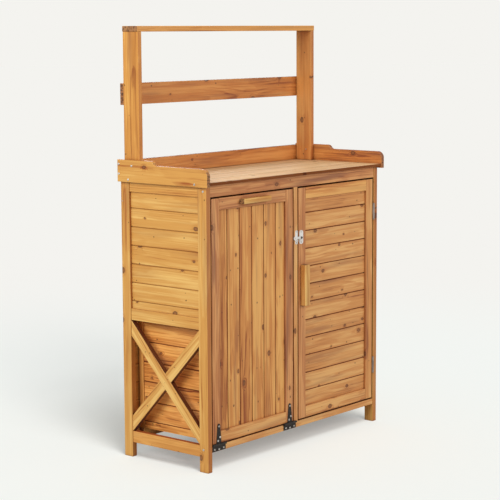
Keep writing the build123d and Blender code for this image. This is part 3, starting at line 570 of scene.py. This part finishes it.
# doors
for side in ("left", "right"):
    board(f"left_door_{side}_stile", BROWN, "z", "x", knots=0.4, greying=0.8)
    board(f"right_door_{side}_stile", BROWN if side == "left" else HONEY, "z", "x", knots=0.3, greying=0.4)
board("left_door_top_rail", BROWN, "x", "z", knots=0.3, greying=0.7)
for name in ("left_door_bottom_rail", "right_door_bottom_rail"):
    board(name, HONEY, "x", "z", knots=0.3)
board("right_door_top_rail", TAN, "x", "z", knots=0.4, variation=0.0, greying=0.2)
left_door_slats = slats("x", middle("left_door_slats", "x"), LEFT_DOOR_SLATS_TO_MIDDLE)
board("left_door_slats", TAN, "z", "x", boards=left_door_slats, knots=0.6, variation=0.3, greying=0.5)
right_door_slats = slats("z", *RIGHT_DOOR_LINE)
board(
    "right_door_slats", HONEY, "x", "z", boards=right_door_slats, knots=0.6, contrast=0.85, variation=0.25,
    greying=0.4,
)
board("left_door_handle", GOLD, "x", "z", knots=0.0)
board("right_door_handle", GOLD, "z", "x", knots=0.0)

# niche, floor
niche_boards = (AXES["z"], NICHE_FIRST_EDGE, NICHE_BOARD_PITCH)
board("niche_wall_boards", EMBER, "y", "z", boards=niche_boards, knots=0.3, contrast=1.2)
board("niche_stiles", AMBER, "z", "y", boards=two_pieces("niche_stiles", "y"), knots=0.2)
board("niche_top_board", AMBER, "y", "x", knots=0.2)
board("floor_boards", HONEY, "y", "x", boards=equal_boards("floor_boards", "x", FLOOR_BOARD_COUNT), knots=0.3)
board("floor_cleats", AMBER, "x", "z", boards=two_pieces("floor_cleats", "y"), knots=0.2)

# worktop, gallery, rack
planks = equal_boards("table_top", "y", PLANK_COUNT)
board(
    "table_top", PALE, "x", "y", boards=planks, knots=0.15, contrast=0.75, variation=0.1, greying=0.15,
    edge=0.0, gloss=0.0,
)
board("side_board_left", GOLD, "y", "z", knots=0.4, contrast=0.7, edge=0.55)
board("side_board_right", RUST, "y", "z", knots=0.35, edge=0.6)
for name in ("back_board", "cross_slat"):
    board(name, RUST, "x", "z", knots=0.4, greying=0.5, edge=1.0, edge_stain=DEEP_SIDE_SHADE_TINT)
board("top_board", AMBER, "x", "y", knots=0.3, edge=0.1)
board("post_left", STRAW, "z", "y", knots=0.4, contrast=0.9)
board("post_right", RUST, "z", "y", knots=0.7)

# X brace: grain along the bars
low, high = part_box("brace_long")
brace_centre = (low + high) / 2
window_y = (high.y - low.y) / 2
window_z = (span("left_middle_rail", "z")[0] - span("left_bottom_rail", "z")[1]) / 2
brace_angle = math.acos(BRACE_HALF / math.hypot(window_y, window_z)) - math.atan2(window_y, window_z)
rising = Vector((0, math.cos(brace_angle), math.sin(brace_angle)))
falling = Vector((0, math.cos(brace_angle), -math.sin(brace_angle)))
for name, along in (("brace_long", rising), ("brace_halves", falling)):
    side_way = along.cross(AXES["x"])
    brace_wood = wood_material(
        f"wood_{name}", GOLD, along, side_way, brace_centre, seed=BRACE_SEED, knots=0.2, edge=1.0,
        edge_stain=DEEP_SIDE_SHADE_TINT,
    )
    dress(name, brace_wood)


# ---------------------------------------------------------------- metal and plastic
BROAD_TO_FINE = 12           # the broad patches of tone are this many times the fine ones
BROAD_SPAN = (0.35, 0.7)
FINE_SPAN = (0.3, 0.75)
FINE_DIRT = 0.35
ROUGH_SPAN = (0.3, 0.7)
ROUGH_LESS = 0.08
ROUGH_MORE = 0.12
METAL_BUMP_DEEP = 0.0002


def metal_material(name, colour, dirt, metallic, roughness, cells, bump, stained=None):
    """Metal with a fine cast of tone, patchy roughness and a slight unevenness.

    Cells is how many cells of the tone there are to a metre. Stained is (colour, x, low, high): to the left
    of x, between two heights, the metal has that colour.
    """
    material = bpy.data.materials.new(name)
    material.use_nodes = True
    graph = Graph(material.node_tree)
    shader = material.node_tree.nodes["Principled BSDF"]
    position = graph.node("ShaderNodeTexCoord").outputs["Object"]
    fine = graph.noise(position, cells, detail=3.0, roughness=0.6)
    broad = graph.noise(position, cells / BROAD_TO_FINE, detail=2.0, roughness=0.5)
    tone = graph.mix(graph.remap(broad, *BROAD_SPAN), colour, dirt)
    tone = graph.mix(graph.remap(fine, *FINE_SPAN, 0.0, FINE_DIRT), tone, dirt)
    if stained is not None:
        stain, limit, stained_low, stained_high = stained
        x, _, z = graph.separate(position)
        inside = graph.math("LESS_THAN", x, limit)
        inside = graph.math("MULTIPLY", inside, graph.math("GREATER_THAN", z, stained_low))
        inside = graph.math("MULTIPLY", inside, graph.math("LESS_THAN", z, stained_high))
        tone = graph.mix(inside, tone, stain)
    patchy = graph.remap(fine, *ROUGH_SPAN, roughness - ROUGH_LESS, roughness + ROUGH_MORE)
    uneven = graph.node("ShaderNodeBump", {"Height": fine, "Strength": bump, "Distance": METAL_BUMP_DEEP})
    graph.feed(shader.inputs["Base Color"], tone)
    graph.feed(shader.inputs["Roughness"], patchy)
    graph.feed(shader.inputs["Normal"], uneven.outputs[0])
    shader.inputs["Metallic"].default_value = metallic
    return material


BLACK = (srgb(34, 33, 33), srgb(58, 54, 50))            # each colour with its dirt
BRIGHT = (srgb(250, 250, 249), srgb(226, 225, 222))
DULL = (srgb(176, 172, 168), srgb(136, 132, 128))
WORN = (srgb(96, 92, 88), srgb(62, 58, 54))
SCREW = (srgb(238, 236, 232), srgb(186, 182, 176))
PLASTIC = (srgb(96, 60, 34), srgb(74, 44, 24))
SCREW_STAIN = srgb(112, 76, 50)

black_steel = metal_material("black_steel", *BLACK, metallic=0.35, roughness=0.42, cells=900.0, bump=0.25)
zinc_steel = metal_material("zinc_steel", *BRIGHT, metallic=0.25, roughness=0.32, cells=700.0, bump=0.2)
dull_zinc = metal_material("dull_zinc", *DULL, metallic=0.4, roughness=0.36, cells=700.0, bump=0.2)
worn_steel = metal_material("worn_steel", *WORN, metallic=0.5, roughness=0.4, cells=900.0, bump=0.25)
catch_plastic = metal_material("catch_plastic", *PLASTIC, metallic=0.0, roughness=0.5, cells=500.0, bump=0.2)
screw_finish = {"metallic": 0.55, "roughness": 0.3, "cells": 1200.0, "bump": 0.2}
screw_steel = metal_material("screw_steel", *SCREW, **screw_finish)
# the screws in the brace are stained with the wood
brace_stain = (SCREW_STAIN, 0.0, span("left_bottom_rail", "z")[1], span("left_middle_rail", "z")[0])
bench_screw_steel = metal_material("bench_screw_steel", *SCREW, **screw_finish, stained=brace_stain)

HARDWARE = (
    (black_steel, ("t_hinge_straps", "t_hinge_plates", "hinge_pins")),
    (zinc_steel, ("latch_plate", "latch_keeper", "latch_lever", "strike_plate")),
    (dull_zinc, ("butt_hinge_door_leaves", "butt_hinge_frame_leaves")),
    (worn_steel, ("latch_rivet",)),
    (catch_plastic, ("magnetic_catch",)),
    (screw_steel, ("left_door_screws", "right_door_screws")),
    (bench_screw_steel, ("bench_screws",)),
)
for metal, names in HARDWARE:
    for name in names:
        dress(name, metal)


# ---------------------------------------------------------------- studio
BACKGROUND = srgb(244, 243, 239)
FLOOR_PAINT_NEAR = srgb(232, 248, 250)     # cool, against the warm light that the bench throws on it
FLOOR_PAINT_FAR = srgb(234, 244, 245)
FLOOR_NEAR = 1.2
FLOOR_FAR = 4.0
FLOOR_RADIUS = 60.0
FLOOR_SIDES = 96
FLOOR_GLOW = 0.32            # this share of the floor's brightness is its own, which keeps shadows light
FLOOR_BOUNCE = (0.46, 0.48, 0.46, 1.0)
AMBIENT = 0.34
SHADOW_WAY = Vector((0.46, 0.89, 0.0))
SHADOW_SUN_WIDE = math.radians(26)
SHADOW_SUN_COLOUR = (1.0, 0.8565, 0.798)    # makes up for the cool paint where the floor is in the light
SHADOW_SUN_GAIN = 1.15
SHADOW_SUNS = (("shadow_sun_high", 60, 0.66), ("shadow_sun_low", 30, 0.34))     # name, rise, share
BENCH_MIDDLE = (0.0, 0.0, 0.7)
SOFT_BOXES = (               # name, place, size, power, colour
    ("key_left", (-4.1, -0.5, 2.5), 2.1, 136.0, (0.98, 0.98, 0.90)),
    ("fill_front", (1.4, -4.3, 2.2), 2.2, 94.0, (0.98, 0.92, 0.87)),
    ("top", (0.3, 0.4, 4.2), 2.0, 52.0, (1.0, 0.98, 0.96)),
    ("fill_back", (2.6, 3.6, 2.4), 2.6, 60.0, (1.0, 1.0, 1.0)),
)


def make_floor():
    """A pale disc, lit just as bright as the background, so that only shadows show on it."""
    bpy.ops.mesh.primitive_circle_add(vertices=FLOOR_SIDES, radius=FLOOR_RADIUS, fill_type="NGON")
    floor = bpy.context.object
    floor.name = "studio_floor"
    material = bpy.data.materials.new("studio_floor")
    material.use_nodes = True
    graph = Graph(material.node_tree)
    tree = material.node_tree
    glow = graph.node("ShaderNodeEmission", {"Color": BACKGROUND, "Strength": 1.0})
    distance = graph.vector("LENGTH", graph.node("ShaderNodeTexCoord").outputs["Object"])
    paint = graph.mix(graph.remap(distance, FLOOR_NEAR, FLOOR_FAR), FLOOR_PAINT_NEAR, FLOOR_PAINT_FAR)
    matt = graph.node("ShaderNodeBsdfDiffuse", {"Color": paint})
    bounce = graph.node("ShaderNodeBsdfDiffuse", {"Color": FLOOR_BOUNCE})
    seen = graph.node("ShaderNodeMixShader", {0: 1.0 - FLOOR_GLOW})
    tree.links.new(glow.outputs[0], seen.inputs[1])
    tree.links.new(matt.outputs[0], seen.inputs[2])
    camera_ray = graph.node("ShaderNodeLightPath").outputs["Is Camera Ray"]
    by_camera = graph.node("ShaderNodeMixShader", {0: camera_ray})
    tree.links.new(bounce.outputs[0], by_camera.inputs[1])
    tree.links.new(seen.outputs[0], by_camera.inputs[2])
    tree.links.new(by_camera.outputs[0], tree.nodes["Material Output"].inputs["Surface"])
    floor.data.materials.append(material)
    return floor


def make_world():
    """The background shows as plain off-white and lights the bench a little from all round."""
    world = bpy.data.worlds.new("studio")
    world.use_nodes = True
    bpy.context.scene.world = world
    graph = Graph(world.node_tree)
    background = world.node_tree.nodes["Background"]
    seen = graph.node("ShaderNodeLightPath").outputs["Is Camera Ray"]
    graph.feed(background.inputs["Color"], graph.mix(seen, (1.0, 1.0, 1.0, 1.0), BACKGROUND))
    graph.feed(background.inputs["Strength"], graph.remap(seen, 0.0, 1.0, AMBIENT, 1.0, smooth=False))


def only_on(light, obj, state):
    """Makes a light shine on one object alone (INCLUDE) or on all but that one (EXCLUDE)."""
    lit = bpy.data.collections.new(f"lit_by_{light.name}")
    lit.objects.link(obj)
    lit.collection_objects[0].light_linking.link_state = state
    light.light_linking.receiver_collection = lit


def make_light(name, kind, place, target, strength, colour=(1.0, 1.0, 1.0)):
    """A lamp at a place, turned to a target."""
    data = bpy.data.lights.new(name, kind)
    data.energy = strength
    data.color = colour
    light = bpy.data.objects.new(name, data)
    bpy.context.scene.collection.objects.link(light)
    light.location = place
    light.rotation_euler = (Vector(target) - Vector(place)).to_track_quat("-Z", "Y").to_euler()
    return light


def soft_box(name, place, size, power, colour, floor):
    """A square soft box turned to the bench. It leaves the floor alone, so that the floor stays even."""
    light = make_light(name, "AREA", place, BENCH_MIDDLE, power, colour)
    light.data.shape = "SQUARE"
    light.data.size = size
    only_on(light, floor, "EXCLUDE")


def shadow_suns(floor):
    """Two broad suns for the floor alone. They lay the bench's soft shadow behind it and to the left."""
    for name, degrees, share in SHADOW_SUNS:
        rise = math.radians(degrees)
        place = Vector((0.0, 0.0, math.sin(rise))) - SHADOW_WAY.normalized() * math.cos(rise)
        strength = SHADOW_SUN_GAIN * share * (1.0 - AMBIENT) * math.pi / math.sin(rise)
        light = make_light(name, "SUN", place, (0.0, 0.0, 0.0), strength, SHADOW_SUN_COLOUR)
        light.data.angle = SHADOW_SUN_WIDE
        only_on(light, floor, "INCLUDE")


floor = make_floor()
make_world()
shadow_suns(floor)
for box in SOFT_BOXES:
    soft_box(*box, floor)

# camera: a long lens, a little above the worktop, from the front left
CAMERA_TARGET = Vector((-0.10409, -0.05721, 0.66476))
CAMERA_DISTANCE = 5.33363
CAMERA_AZIMUTH = math.radians(-50.053)
CAMERA_ELEVATION = math.radians(7.768)
CAMERA_ROLL = math.radians(-0.283)
SENSOR = 36.0
FOCAL_LENGTH = 116.158


def make_camera():
    """A camera placed by the values above, with a roll about its own line of sight."""
    data = bpy.data.cameras.new("camera")
    data.sensor_width = SENSOR
    data.lens = FOCAL_LENGTH
    camera = bpy.data.objects.new("camera", data)
    bpy.context.scene.collection.objects.link(camera)
    back = Vector((
        math.sin(CAMERA_AZIMUTH) * math.cos(CAMERA_ELEVATION),
        -math.cos(CAMERA_AZIMUTH) * math.cos(CAMERA_ELEVATION),
        math.sin(CAMERA_ELEVATION),
    ))
    right = (-back).cross(AXES["z"]).normalized()
    up = right.cross(-back)
    rolled_right = right * math.cos(CAMERA_ROLL) + up * math.sin(CAMERA_ROLL)
    rolled_up = up * math.cos(CAMERA_ROLL) - right * math.sin(CAMERA_ROLL)
    turn = Matrix((rolled_right, rolled_up, back)).transposed().to_4x4()
    camera.matrix_world = Matrix.Translation(CAMERA_TARGET + back * CAMERA_DISTANCE) @ turn
    bpy.context.scene.camera = camera


make_camera()
bpy.context.scene.view_settings.view_transform = "Standard"
